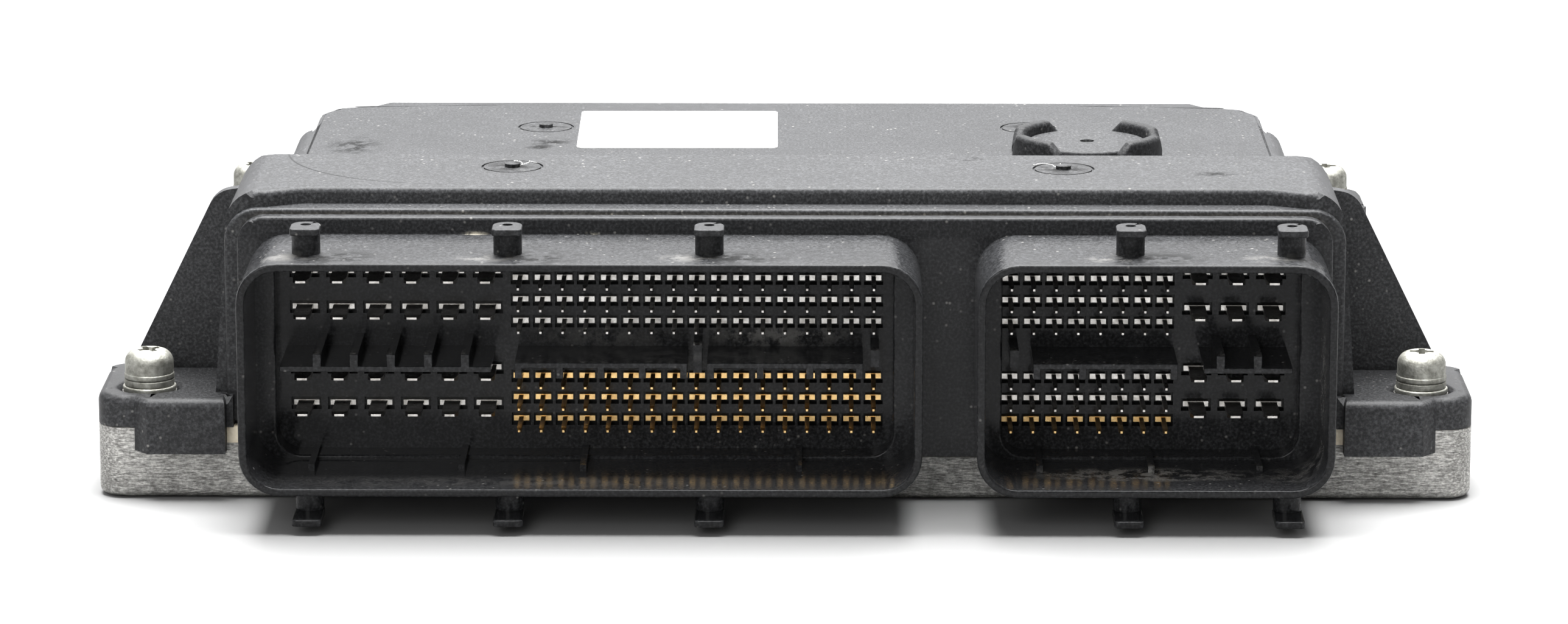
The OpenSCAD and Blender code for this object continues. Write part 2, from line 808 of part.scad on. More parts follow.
// One power tab with its shoulder and a narrow bent tail
module power_tab(x, z, tail_y) {
  h = pin_s / 2;
  w = tab_pin_w / 2;
  tip = pin_tip_s / 2;
  intersection() {
    along_z(z - h, z + h) polygon([
      [x - 0.7, pin_tip_y], [x + 0.7, pin_tip_y], [x + w, pin_tip_y + 1.2],
      [x + w, header_back + 1], [x + power_tail_w / 2, header_back + 2],
      [x + power_tail_w / 2, tail_y + h], [x - power_tail_w / 2, tail_y + h],
      [x - power_tail_w / 2, header_back + 2], [x - w, header_back + 1], [x - w, pin_tip_y + 1.2]
    ]);
    translate([x, 0, 0]) along_x(w) polygon([
      [pin_tip_y, z - tip], [pin_tip_y + pin_tip_l, z - h], [tail_y + h, z - h],
      [tail_y + h, z + h], [pin_tip_y + pin_tip_l, z + h], [pin_tip_y, z + tip]
    ]);
  }
  translate([x - power_tail_w / 2, tail_y - h, pin_bottom])
    cube([power_tail_w, pin_s, z - pin_bottom]);
  translate([x - power_shoulder_w / 2, shoulder_y, z - shoulder_h / 2])
    cube([power_shoulder_w, floor_y + slot_d - shoulder_y, shoulder_h]);
}

function signal_tail(row) = first_tail_y + (len(signal_rows) - 1 - row) * signal_tail_step;
function power_tail(row) = first_tail_y + (len(power_rows) - 1 - row) * power_tail_step;
function column_x(x, cols, pitch, i) = x + (i - (cols - 1) / 2) * pitch;

module signal_field(x, cols, rows) {
  for (i = [0:cols - 1]) for (r = rows)
    signal_pin(column_x(x, cols, signal_pitch, i), signal_rows[r], signal_tail(r));
}

module power_field(x, cols) {
  for (i = [0:cols - 1]) for (r = [0:len(power_rows) - 1])
    power_tab(column_x(x, cols, power_pitch, i), power_rows[r], power_tail(r));
}

module left_signal_pins_tin() {
  color("#c8c6c0") from_front() signal_field(left_signal_x, left_cols, [0, 1, 2]);
}

module left_signal_pins_gold() {
  color("#c79a45") from_front() signal_field(left_signal_x, left_cols, [3, 4, 5]);
}

module left_power_tabs() {
  color("#c8c6c0") from_front() power_field(left_power_x, left_power_cols);
}

module right_signal_pins_tin() {
  color("#c8c6c0") from_front() signal_field(right_signal_x, right_cols, [0, 1, 2, 3, 4]);
}

module right_signal_pins_gold() {
  color("#c79a45") from_front() signal_field(right_signal_x, right_cols, [5]);
}

module right_power_tabs() {
  color("#c8c6c0") from_front() power_field(right_power_x, right_power_cols);
}

// Cross recess in a screw head of height h
module cross_recess(h, s) {
  for (a = [0, 90]) rotate(a)
    translate([-1.7 * s, -0.45 * s, h - 1.2 * s]) cube([3.4 * s, 0.9 * s, 2]);
  translate([0, 0, h - 2 * s]) cylinder(r1 = 0.4 * s, r2 = 1 * s, h = 2 * s + 0.01);
}

// Pan screw standing on its bearing face: head radius and height, collar, shank
module pan_screw(r, h, collar, shank_r, shank_l, s) {
  difference() {
    union() {
      if (collar > 0) cylinder(r = r + 0.1, h = collar);
      translate([0, 0, collar]) rotate_extrude()
        polygon(rounded([[0, 0], [r, 0], [r, h], [0, h]], [0, 0, 0.55 * h, 0]));
      translate([0, 0, -shank_l]) cylinder(r = shank_r, h = shank_l + 0.5);
    }
    translate([0, 0, collar]) cross_recess(h, s);
  }
}

module cover_screws() {
  collar = 0.85;
  color("#a9a79e") from_front() for (i = [0:len(screw_places) - 1])
    translate([screw_places[i].x, screw_places[i].y, boss_top + washer_t + spring_t])
      rotate(35 + 50 * i) pan_screw(head_r, head_h, collar, screw_r, screw_l, 1);
}

module spring_washers() {
  slit = 0.5;
  color("#b4b2a8") from_front() for (i = [0:len(screw_places) - 1])
    translate([screw_places[i].x, screw_places[i].y, boss_top + washer_t]) rotate(60 + 80 * i)
      difference() {
        cylinder(r = head_r + 0.1, h = spring_t);
        translate([0, 0, -eps]) cylinder(r = screw_r + 0.1, h = spring_t + 2 * eps);
        translate([0, -slit / 2, -eps]) cube([2 * head_r, slit, spring_t + 2 * eps]);
      }
}

module flat_washers() {
  color("#a5a398") from_front() for (p = screw_places)
    translate([p.x, p.y, boss_top]) difference() {
      cylinder(r = washer_r, h = washer_t);
      translate([0, 0, -eps]) cylinder(r = screw_r + 0.15, h = washer_t + 2 * eps);
    }
}

module vent_cap() {
  color("#2a2c2e") from_front() translate([vent_place.x, vent_place.y, rear_top]) difference() {
    cylinder(r = vent_r, h = vent_t);
    translate([0, 0, -eps]) cylinder(r = film_r + fit, h = film_t + fit + eps);
    cylinder(r = vent_hole_r, h = vent_t + eps);
  }
}

module vent_membrane() {
  color("white") from_front() translate([vent_place.x, vent_place.y, rear_top])
    cylinder(r = film_r, h = film_t);
}

module label() {
  color("#e4e4df") from_front() translate([label_place.x, label_place.y, rear_top]) rotate(label_turn)
    linear_extrude(label_t)
    round_box(-label_w / 2, label_w / 2, -label_d / 2, label_d / 2, 1);
}

// Cured sealant round the header: behind its flange, under it and at the lower corners
module header_sealant() {
  core = core_w / 2 - fit;
  side = plate_w / 2 - 0.4;
  color("#d9cdb4") from_front() {
    along_y(plate_back, frame_y) difference() {
      polygon(rounded(
        box_pts(-side, side, seat_z, plate_top - 0.4),
        [0, 0, plate_r - 0.4, plate_r - 0.4]
      ));
      translate([-core, plate_bottom]) square([2 * core, core_top - fit - plate_bottom]);
    }
    translate([-core, plate_front + 1.2, seat_z])
      cube([2 * core, header_back - plate_front - 1.2, plate_bottom - seat_z]);
    both_sides() {
      translate([plate_w / 2 + 0.05, 0.1, sill_z])
        cube([frame_w / 2 - plate_w / 2 - 0.1, hood_y - 0.1, rim_h - sill_z]);
      translate([side - 0.1, plate_back, sill_z])
        cube([plate_w / 2 - side + 0.3, frame_y - plate_back, rim_h - sill_z + 0.7]);
    }
  }
}

module perimeter_seal() {
  color("#c9c2ae") from_front()
    along_z(rim_h - groove_h, rim_h - tongue_h) seal_path(groove_w);
}

module circuit_board() {
  color("#2f6b46") from_front() along_z(board_z, board_top) difference() {
    translate([-board_w / 2, board_front]) square([board_w, board_d]);
    for (x = [-post_x, post_x]) for (y = post_ys) translate([x, y]) circle(r = board_hole_r);
    for (f = [[left_signal_x, left_cols], [right_signal_x, right_cols]])
      for (i = [0:f[1] - 1]) for (r = [0:len(signal_rows) - 1])
        translate([column_x(f[0], f[1], signal_pitch, i), signal_tail(r)]) circle(r = tail_hole_r);
    for (f = [[left_power_x, left_power_cols], [right_power_x, right_power_cols]])
      for (i = [0:f[1] - 1]) for (r = [0:len(power_rows) - 1])
        translate([column_x(f[0], f[1], power_pitch, i), power_tail(r)]) circle(r = tail_hole_r);
  }
}

module board_screws() {
  color("silver") from_front() for (x = [-post_x, post_x]) for (y = post_ys)
    translate([x, y, board_top])
      pan_screw(board_head_r, 0.8 * board_head_r, 0, board_screw_r, 0.62 * board_z, 0.75);
}

// Chip package with a row of leads along two sides or all four
module chip(w, d, h, leads, four) {
  lead = 0.35;
  foot = 1;
  translate([-w / 2, -d / 2, 0.1]) cube([w, d, h - 0.1]);
  along_z(0, 0.4) for (i = [0:leads - 1]) {
    at = (i + 0.5) / leads - 0.5;
    for (s = [-1, 1])
      translate([at * w - lead / 2, s * d / 2 - foot]) square([lead, 2 * foot]);
    if (four) for (s = [-1, 1])
      translate([s * w / 2 - foot, at * d - lead / 2]) square([2 * foot, lead]);
  }
}

module microcontroller() {
  color("#222") from_front() translate([0, mcu_y, board_top]) chip(mcu_w, mcu_w, chip_h, 24, true);
}

module driver_chips() {
  color("#222") from_front() for (x = driver_xs) for (y = driver_ys)
    translate([x, y, board_top]) chip(driver_w, driver_d, chip_h, 10, false);
}

module power_chip() {
  color("#222") from_front() translate([-board_w / 2 + 1.8 * driver_w, supply_y, board_top])
    chip(driver_w - 2, driver_d - 1, 1.7 * chip_h, 5, false);
}

module capacitors() {
  color("#444") from_front() for (i = [0:2])
    translate([(i - 1) * 1.4 * cap_d - 16, supply_y, board_top]) cylinder(d = cap_d, h = cap_h);
}

module inductor() {
  color("#555") from_front() translate([coil_w + 14, supply_y, board_top]) difference() {
    translate([-coil_w / 2, -coil_w / 2, 0]) cube([coil_w, coil_w, 0.6 * coil_w]);
    translate([0, 0, 0.5 * coil_w]) cylinder(r = 0.36 * coil_w, h = coil_w);
  }
}

module crystal() {
  color("silver") from_front() translate([mcu_w / 2 + 9, mcu_y, board_top])
    along_z(0, 3.5) round_box(-5.5, 5.5, -2.3, 2.3, 2.2);
}

module thermal_pads() {
  color("#8899aa") from_front() for (x = driver_xs) for (y = driver_ys)
    translate([x - driver_w / 2, y - driver_d / 2, board_z - pad_t])
      cube([driver_w, driver_d, pad_t]);
}

base();
cover();
connector_header();
left_signal_pins_tin();
left_signal_pins_gold();
left_power_tabs();
right_signal_pins_tin();
right_signal_pins_gold();
right_power_tabs();
cover_screws();
spring_washers();
flat_washers();
vent_cap();
label();
header_sealant();
perimeter_seal();
vent_membrane();
circuit_board();
board_screws();
microcontroller();
driver_chips();
power_chip();
capacitors();
inductor();
crystal();
thermal_pads();
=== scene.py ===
import json
import math

import bmesh
import bpy
from mathutils import Matrix, Vector


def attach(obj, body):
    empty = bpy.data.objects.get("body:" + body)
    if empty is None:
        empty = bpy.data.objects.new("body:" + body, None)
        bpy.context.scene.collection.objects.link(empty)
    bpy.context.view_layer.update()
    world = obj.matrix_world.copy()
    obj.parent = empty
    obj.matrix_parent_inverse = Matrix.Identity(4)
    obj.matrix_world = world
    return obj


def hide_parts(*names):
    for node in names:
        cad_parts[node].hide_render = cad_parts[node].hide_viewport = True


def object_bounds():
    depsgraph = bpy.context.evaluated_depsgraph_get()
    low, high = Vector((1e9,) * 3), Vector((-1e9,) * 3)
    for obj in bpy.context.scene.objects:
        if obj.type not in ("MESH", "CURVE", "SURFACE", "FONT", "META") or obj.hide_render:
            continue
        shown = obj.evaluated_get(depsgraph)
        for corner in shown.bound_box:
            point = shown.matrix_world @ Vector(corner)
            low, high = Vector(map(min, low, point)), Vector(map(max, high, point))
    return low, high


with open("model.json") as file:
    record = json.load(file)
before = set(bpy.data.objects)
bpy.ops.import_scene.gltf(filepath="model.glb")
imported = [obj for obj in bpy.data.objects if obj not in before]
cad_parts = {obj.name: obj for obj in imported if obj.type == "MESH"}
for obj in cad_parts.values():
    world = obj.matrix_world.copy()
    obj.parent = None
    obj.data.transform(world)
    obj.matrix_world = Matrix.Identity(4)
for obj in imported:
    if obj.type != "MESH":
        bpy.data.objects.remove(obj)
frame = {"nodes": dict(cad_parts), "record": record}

cad_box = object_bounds()
MM = 0.001
ROOT = "root"

# Camera of the photograph: place in metres, angles in degrees, focal length in photograph pixels
CAMERA_AT = (0.00514, -0.96034, 0.22504)
CAMERA_YAW = 0.34
CAMERA_PITCH = 12.6
CAMERA_ROLL = 0.04
FOCAL_PIXELS = 10430
PHOTO_WIDTH = 2576
SENSOR = 36.0
CLIP = (0.05, 50)

# Heights on the part that the finish goes by, in millimetres
PEG_FOOT_Z = 2.3
BAY_FLOOR_Z = 6.7
RIM_Z = 10.4
EAR_Z = 15.0
SHELF_TOP_Z = 22.2
REAR_Z = 30.0
CLAW_Z = REAR_Z + 1
SHROUD_Z = 38.95
FLANGE_TOP_Z = 41.0
PEG_CAP_Z = SHROUD_Z + 3
FRAME_Z = 42.1
BLOCK_Z = 44.46

# Depths on the part, from front to back, in millimetres
SHROUD_Y = -97.9
PEG_Y = -90.5
SHELF_YS = (-89.0, -86.5)
STEP_Y = -80.0
FLANGE_Y = -77.5
BASE_Y = -76.5
PIN_WALL_Y = -75.5
FRAME_Y = -75.1
FRONT_EAR_Y = -58.9
REAR_EDGE_Y = 55.0
REAR_EAR_Y = 60.0

# Half widths and places in plan, in millimetres
REAR_EDGE_X = 66.0
FLANGE_HALF = 77.5
COVER_HALF = 82.0
PEG_XS = (-67.0, -38.75, -10.5, 48.5, 71.05)
PEGS = [(x, PEG_Y) for x in PEG_XS]
VENT_AT = (47.3, 28.1)
GATES = ((-39.7, -55.9), (40.3, -56.9), (-39.4, 49.3), (38.6, 49.3))
SCREWS = ((-91.6, -69.9), (91.6, -69.9), (-88.3, 66.5), (88.3, 66.5))

# Distances in plan from those places, in millimetres
GATE_REACH = 5.5
VENT_REACH = 13
CAP_RIM = 5
RING_RIM = 3.3
PEG_HOLE = 1

# Radii of the rounded edges, in millimetres
UNDERSIDE_R = 1.1
RIM_R = 0.3
EAR_R = 1.2
BLOCK_R = 0.9
REAR_R = 0.8
CLAW_R = 0.8
FRAME_R = 0.5
FLANGE_R = 0.5
LIP_R = 0.35
STEP_R = 0.35
SHELF_R = 0.12
PEG_R = 0.2
CAP_R = 0.4
RING_R = 0.22

# Rounding: full width and slacks in millimetres, angles in degrees, merging distance in metres
FULL_WIDTH = 4.0
BEVEL_STEPS = 3
SHARP = 28
CREASE = 36
NEAR = 0.06
LEVEL_NEAR = 0.002
MERGE = 1e-6
FLAT_COSINE = 0.99995

# Lint: radius of a fibre, its height off the block at the ends and its rise, in millimetres
FIBRE_R = 0.03
FIBRE_LIFT = 0.12
FIBRE_ARCH = 0.26
FIBRE_STEPS = 24

# Floor: side and depth below the part in metres, darkest and lightest paint
FLOOR_SIZE = 24
FLOOR_DROP = 0.0002
FLOOR_DARK = (0.24, 0.24, 0.24)
FLOOR_LIGHT = (0.25, 0.25, 0.25)

nodes_by_name = frame["nodes"]
slot_of = {part["node"]: part["material_slot"] for part in frame["record"]["subparts"]}


def make_camera():
    yaw, pitch, roll = (math.radians(a) for a in (CAMERA_YAW, CAMERA_PITCH, CAMERA_ROLL))
    ahead = Vector((
        -math.sin(yaw) * math.cos(pitch),
        math.cos(yaw) * math.cos(pitch),
        -math.sin(pitch),
    ))
    level = Vector((math.cos(yaw), math.sin(yaw), 0))
    upright = level.cross(ahead)
    right = level * math.cos(roll) + upright * math.sin(roll)
    up = upright * math.cos(roll) - level * math.sin(roll)
    data = bpy.data.cameras.new("photo_camera")
    data.sensor_width = SENSOR
    data.lens = SENSOR * FOCAL_PIXELS / PHOTO_WIDTH
    data.clip_start, data.clip_end = CLIP
    camera = bpy.data.objects.new("photo_camera", data)
    turn = Matrix((right, up, -ahead)).transposed().to_4x4()
    camera.matrix_world = Matrix.Translation(CAMERA_AT) @ turn
    bpy.context.collection.objects.link(camera)
    bpy.context.scene.camera = camera


# Materials


class Surface:
    """A principled material with short helpers for its texture nodes."""

    def __init__(self, name, colour, roughness, metallic=0.0, specular=0.5):
        self.material = bpy.data.materials.new(name)
        self.material.use_nodes = True
        self.tree = self.material.node_tree
        self.shader = self.tree.nodes["Principled BSDF"]
        self.shader.inputs["Base Color"].default_value = (*colour, 1)
        self.shader.inputs["Roughness"].default_value = roughness
        self.shader.inputs["Metallic"].default_value = metallic
        self.shader.inputs["Specular IOR Level"].default_value = specular
        self.place = self.tree.nodes.new("ShaderNodeTexCoord").outputs["Object"]

    def link(self, out, to):
        self.tree.links.new(out, to)

    def span(self, value, low, high, start=0.0, end=1.0):
        """Goes from low to high while a value goes from start to end, and stays there beyond."""
        node = self.tree.nodes.new("ShaderNodeMapRange")
        node.inputs["From Min"].default_value = start
        node.inputs["From Max"].default_value = end
        node.inputs["To Min"].default_value = low
        node.inputs["To Max"].default_value = high
        self.link(value, node.inputs["Value"])
        return node.outputs["Result"]

    def along(self, axis, start, end, low, high):
        """Goes from low to high between two places along an axis, in millimetres."""
        node = self.tree.nodes.new("ShaderNodeSeparateXYZ")
        self.link(self.place, node.inputs["Vector"])
        return self.span(node.outputs[axis], low, high, start * MM, end * MM)

    def stretched(self, scale):
        node = self.tree.nodes.new("ShaderNodeMapping")
        node.inputs["Scale"].default_value = scale
        self.link(self.place, node.inputs["Vector"])
        return node.outputs["Vector"]

    def reach(self, place, size):
        """Distance from a place, counted in a size along each axis, both in millimetres."""
        node = self.tree.nodes.new("ShaderNodeMapping")
        node.vector_type = "TEXTURE"
        node.inputs["Location"].default_value = [v * MM for v in place]
        node.inputs["Scale"].default_value = [v * MM for v in size]
        self.link(self.place, node.inputs["Vector"])
        length = self.tree.nodes.new("ShaderNodeVectorMath")
        length.operation = "LENGTH"
        self.link(node.outputs["Vector"], length.inputs[0])
        return length.outputs["Value"]

    def near(self, place, size, core=0.2):
        """1 in the core of an ellipsoid round a place, fading to 0 at its surface."""
        return self.span(self.reach(place, size), 1.0, 0.0, core, 1.0)

    def arc(self, centre, radius, width, tall=1e9):
        """1 on a thin upright ring round a centre, 0 elsewhere, in millimetres."""
        reach = self.reach(centre, (radius, radius, tall))
        inner = self.span(reach, 0.0, 1.0, 1 - width / radius, 1.0)
        outer = self.span(reach, 1.0, 0.0, 1.0, 1 + width / radius)
        return self.times(inner, outer)

    def noise(self, scale, detail=4.0, rough=0.5, where=None):
        node = self.tree.nodes.new("ShaderNodeTexNoise")
        node.inputs["Scale"].default_value = scale
        node.inputs["Detail"].default_value = detail
        node.inputs["Roughness"].default_value = rough
        self.link(where or self.place, node.inputs["Vector"])
        return node.outputs["Fac"]

    def specks(self, scale, size):
        """1 in small dots scattered over the surface, 0 elsewhere."""
        node = self.tree.nodes.new("ShaderNodeTexVoronoi")
        node.inputs["Scale"].default_value = scale
        self.link(self.place, node.inputs["Vector"])
        return self.span(node.outputs["Distance"], 1.0, 0.0, 0.0, size)

    def ramp(self, value, stops):
        node = self.tree.nodes.new("ShaderNodeValToRGB")
        points = node.color_ramp.elements
        while len(points) < len(stops):
            points.new(0.5)
        for point, (at_value, colour) in zip(points, stops):
            point.position = at_value
            point.color = (*colour, 1)
        self.link(value, node.inputs["Fac"])
        return node.outputs["Color"]

    def combine(self, operation, a, b):
        node = self.tree.nodes.new("ShaderNodeMath")
        node.operation = operation
        self.link(a, node.inputs[0])
        if isinstance(b, float):
            node.inputs[1].default_value = b
        else:
            self.link(b, node.inputs[1])
        return node.outputs["Value"]

    def times(self, a, b):
        return self.combine("MULTIPLY", a, b)

    def plus(self, a, b):
        return self.combine("ADD", a, b)

    def mix(self, fac, a, b):
        node = self.tree.nodes.new("ShaderNodeMix")
        node.data_type = "RGBA"
        self.link(fac, node.inputs["Factor"])
        self.link(a, node.inputs["A"])
        node.inputs["B"].default_value = (*b, 1)
        return node.outputs["Result"]

    def colour(self, out):
        self.link(out, self.shader.inputs["Base Color"])

    def roughness(self, out):
        self.link(out, self.shader.inputs["Roughness"])

    def bump(self, height, depth):
        node = self.tree.nodes.new("ShaderNodeBump")
        node.inputs["Strength"].default_value = 1.0
        node.inputs["Distance"].default_value = depth
        self.link(height, node.inputs["Height"])
        self.link(node.outputs["Normal"], self.shader.inputs["Normal"])


# Pale dust colour for real dust, also used to lighten the bay floors as painted light
DUST_AND_PAINTED_LIGHT = (0.36, 0.35, 0.33)
# Near black for real grime and the scratch, and for painted shade in the pin slots, on the lip, on the
# ear tops and on the claws
GRIME_AND_PAINTED_SHADE = (0.002, 0.002, 0.002)
CREAM = (0.46, 0.43, 0.36)


def black_plastic(name, colour, roughness, grain, marks=(), bay_gloss=None, scratch=None, painted_shade=()):
    """Moulded black plastic: fine grain, dust, painted shade, broken marks and one curved scratch."""
    s = Surface(name, colour, roughness, specular=0.15)
    fine = s.noise(scale=2400, detail=3, rough=0.6)
    grit = s.times(fine, s.span(s.noise(scale=45, detail=3), low=0.9, high=1.1))
    grit = s.times(grit, s.span(s.noise(scale=650, detail=2), low=0.86, high=1.14))
    dark, light = (tuple(c * factor for c in colour) for factor in (0.6, 2.0))
    shade = s.ramp(grit, [(0.36, dark), (0.5, colour), (0.68, light)])
    patchy = s.span(s.noise(scale=90, detail=2), low=0.0, high=0.9, start=0.42, end=0.7)
    shade = s.mix(s.times(s.specks(scale=560, size=0.15), patchy), shade, DUST_AND_PAINTED_LIGHT)
    gritty = s.span(fine, low=roughness - 0.09, high=roughness + 0.09, start=0.3, end=0.7)
    relief = fine

    # Smooth bays, with painted shade deep in the pin slots and painted shade on the lip's front face
    if bay_gloss is not None:
        inside = s.along("Z", SHROUD_Z - 0.7, SHROUD_Z - 0.2, low=1.0, high=0.0)
        gritty = s.plus(gritty, s.times(inside, bay_gloss - roughness))
        relief = s.times(fine, s.span(inside, low=1.0, high=0.12))
        # Painted shade: the pin slots behind the pin wall are darkened
        slot_painted_shade = s.along("Y", PIN_WALL_Y + 0.05, PIN_WALL_Y + 0.4, low=0.0, high=1.0)
        shade = s.mix(slot_painted_shade, shade, GRIME_AND_PAINTED_SHADE)
        # Painted shade: the front face of the lip is darkened
        lip_painted_shade = s.along("Y", SHROUD_Y + 0.1, SHROUD_Y + 0.3, low=0.45, high=0.0)
        shade = s.mix(lip_painted_shade, shade, GRIME_AND_PAINTED_SHADE)

    # Painted shade: smooth dark zones round the given places
    for place, size, strength in painted_shade:
        shade = s.mix(s.times(s.near(place, size), strength), shade, GRIME_AND_PAINTED_SHADE)
    broken = s.span(s.noise(scale=420, detail=5, rough=0.7), low=0.0, high=1.0, start=0.44, end=0.56)
    for place, size, tint, strength in marks:
        mask = s.times(s.times(s.near(place, size), broken), strength)
        shade = s.mix(mask, shade, tint)
        gritty = s.plus(gritty, s.times(mask, 0.4))
    if scratch is not None:
        centre, radius, place, size = scratch
        mask = s.times(s.arc(centre, radius, width=0.25), s.near(place, size))
        shade = s.mix(mask, shade, GRIME_AND_PAINTED_SHADE)
        gritty = s.plus(gritty, s.times(mask, 0.3))
    s.colour(shade)
    s.roughness(gritty)
    s.bump(relief, grain)
    return s.material


def cast_metal():
    """Die-cast aluminium with short fine streaks along its length."""
    dark = (0.08, 0.078, 0.074)
    middle = (0.32, 0.315, 0.3)
    light = (0.78, 0.77, 0.74)
    s = Surface("cast_aluminium", (0.4, 0.4, 0.39), 0.45, metallic=1.0)
    streaks = s.noise(scale=1, detail=8, rough=0.75, where=s.stretched((800, 3600, 5200)))
    flecks = s.span(s.noise(scale=2600, detail=4, rough=0.7), low=0.7, high=1.3)
    patches = s.span(s.noise(scale=150, detail=4, rough=0.6), low=0.8, high=1.2)
    mixed = s.times(s.times(streaks, flecks), patches)
    s.colour(s.ramp(mixed, [(0.32, dark), (0.48, middle), (0.66, light)]))
    s.roughness(s.span(streaks, low=0.62, high=0.34))
    s.bump(mixed, 0.00012)
    return s.material


def plated(name, colour, dull, roughness, grain=0.00001):
    """Plated metal with faint clouding."""
    s = Surface(name, colour, roughness, metallic=1.0)
    cloud = s.noise(scale=900, detail=5, rough=0.65)
    s.colour(s.ramp(cloud, [(0.32, dull), (0.64, colour)]))
    s.roughness(s.span(cloud, low=roughness + 0.14, high=roughness - 0.06))
    s.bump(s.noise(scale=3000, detail=2), grain)
    return s.material


def mottled(name, colour, dark, roughness, scale, grain):
    """Plain dull material with a little mottling."""
    s = Surface(name, colour, roughness)
    cloud = s.noise(scale, detail=4, rough=0.6)
    s.colour(s.ramp(cloud, [(0.3, dark), (0.7, colour)]))
    s.roughness(s.span(cloud, low=roughness + 0.08, high=roughness - 0.08))
    s.bump(cloud, grain)
    return s.material


# Smudges, and dark patches round the gates, on the cover: place and size in millimetres, tint, strength
cover_marks = [
    ((-69.4, 32.8, REAR_Z), (5, 9, 1), GRIME_AND_PAINTED_SHADE, 0.9),
    ((-38.0, 36.6, REAR_Z), (4, 4, 1), GRIME_AND_PAINTED_SHADE, 0.9),
    ((-39.6, 32.1, REAR_Z), (3, 3, 1), GRIME_AND_PAINTED_SHADE, 0.9),
    ((26.4, -49.7, BLOCK_Z), (3, 2, 1), GRIME_AND_PAINTED_SHADE, 0.9),
    ((62.0, -60.6, BLOCK_Z), (4, 2, 1), GRIME_AND_PAINTED_SHADE, 0.9),
]
cover_marks += [((x, y, BLOCK_Z if y < 0 else REAR_Z), (5, 5, 2), GRIME_AND_PAINTED_SHADE, 0.95) for x, y in GATES]

# Curved scratch on the block: centre and radius of its ring, place and size of the stretch that shows
cover_scratch = ((-48.8, -44.6, BLOCK_Z), 24.2, (-64, -60, BLOCK_Z), (24, 24, 1))

# Painted shade on the ear tops and breather claws: place, size, strength
cover_painted_shade = [((x, y, EAR_Z), (40, 40, 1), 0.5) for x, y in SCREWS]
cover_painted_shade.append(((*VENT_AT, REAR_Z + 4), (40, 40, 4), 0.5))

# Grime and dust at the pegs, crumbs of sealant on the flange, dust on the pin wall, and dust in the bays
# that also lightens the bay floors as painted light
header_marks = [((x + 4, PEG_Y - 3, SHROUD_Z), (9, 6, 2), GRIME_AND_PAINTED_SHADE, 0.9) for x in PEG_XS]
header_marks += [((x - 3, PEG_Y - 3, SHROUD_Z), (5, 3, 1), DUST_AND_PAINTED_LIGHT, 0.22) for x in PEG_XS]
header_marks += [
    ((-44.0, FLANGE_Y, SHROUD_Z), (2.2, 0.8, 0.5), CREAM, 0.8),
    ((-27.6, FLANGE_Y, SHROUD_Z), (1.2, 0.8, 0.5), CREAM, 0.8),
    # Dust marks in the bays, which also lighten the bay floors as painted light
    ((51.0, -88.5, BAY_FLOOR_Z), (19, 4.5, 1.5), DUST_AND_PAINTED_LIGHT, 0.7),
    ((72.0, -89.0, 9.0), (8, 6, 5), DUST_AND_PAINTED_LIGHT, 0.35),
    ((-1.0, PIN_WALL_Y, 23.9), (13, 1, 2.4), DUST_AND_PAINTED_LIGHT, 0.35),
    ((-26.0, PIN_WALL_Y, 23.6), (14, 1, 2), DUST_AND_PAINTED_LIGHT, 0.15),
    ((-12.0, -81.0, SHELF_TOP_Z), (28, 7, 1), DUST_AND_PAINTED_LIGHT, 0.1),
    ((-40.0, -93.0, BAY_FLOOR_Z), (45, 4, 1.2), DUST_AND_PAINTED_LIGHT, 0.1),
    ((75.8, -88.0, 22.0), (1, 8, 15), DUST_AND_PAINTED_LIGHT, 0.4),
]

materials = {
    "cast_base": cast_metal(),
    "black_cover": black_plastic(
        "cover_plastic", (0.03, 0.0305, 0.032), roughness=0.47, grain=0.00004,
        marks=cover_marks, scratch=cover_scratch, painted_shade=cover_painted_shade,
    ),
    "black_header": black_plastic(
        "header_plastic", (0.021, 0.0214, 0.0226), roughness=0.44, grain=0.00003,
        marks=header_marks, bay_gloss=0.14,
    ),
    "black_cap": black_plastic("cap_plastic", (0.034, 0.0345, 0.036), roughness=0.5, grain=0.00003),
    "tin_plate": plated("tin_plate", (0.65, 0.635, 0.61), (0.36, 0.345, 0.32), 0.26),
    "gold_plate": plated("gold_plate", (0.88, 0.62, 0.29), (0.63, 0.41, 0.17), 0.26),
    "zinc_plate": plated("zinc_plate", (0.41, 0.41, 0.375), (0.18, 0.178, 0.155), 0.58, 0.00005),
    "can_metal": plated("can_metal", (0.72, 0.72, 0.72), (0.5, 0.5, 0.5), 0.3),
    "label_film": mottled("label_film", (0.86, 0.86, 0.84), (0.78, 0.78, 0.76), 0.5, 300, 0.00001),
    "cream_sealant": mottled("cream_sealant", (0.84, 0.77, 0.62), (0.66, 0.57, 0.42), 0.55, 900, 0.00006),
    "white_film": mottled("white_film", (0.85, 0.85, 0.83), (0.75, 0.75, 0.73), 0.8, 900, 0.00002),
    "board_green": mottled("board_green", (0.02, 0.16, 0.07), (0.015, 0.1, 0.045), 0.35, 500, 0.00001),
    "chip_black": mottled("chip_black", (0.022, 0.022, 0.023), (0.014, 0.014, 0.015), 0.5, 900, 0.00001),
    "ferrite_grey": mottled("ferrite_grey", (0.09, 0.09, 0.1), (0.05, 0.05, 0.055), 0.6, 900, 0.00002),
    "pad_grey": mottled("pad_grey", (0.25, 0.29, 0.36), (0.18, 0.21, 0.27), 0.7, 700, 0.00002),
}


def dress(obj, slot):
    obj.data.materials.clear()
    obj.data.materials.append(materials[slot])


for name, slot in slot_of.items():
    dress(nodes_by_name[name], slot)


# Pieces that replace a solid with the same shape and rounded edges


def at(value, target, slack=NEAR):
    return abs(value - target) < slack


def away(point, places):
    """Distance in plan from a point to the nearest of some places."""
    return min(math.hypot(point.x - x, point.y - y) for x, y in places)


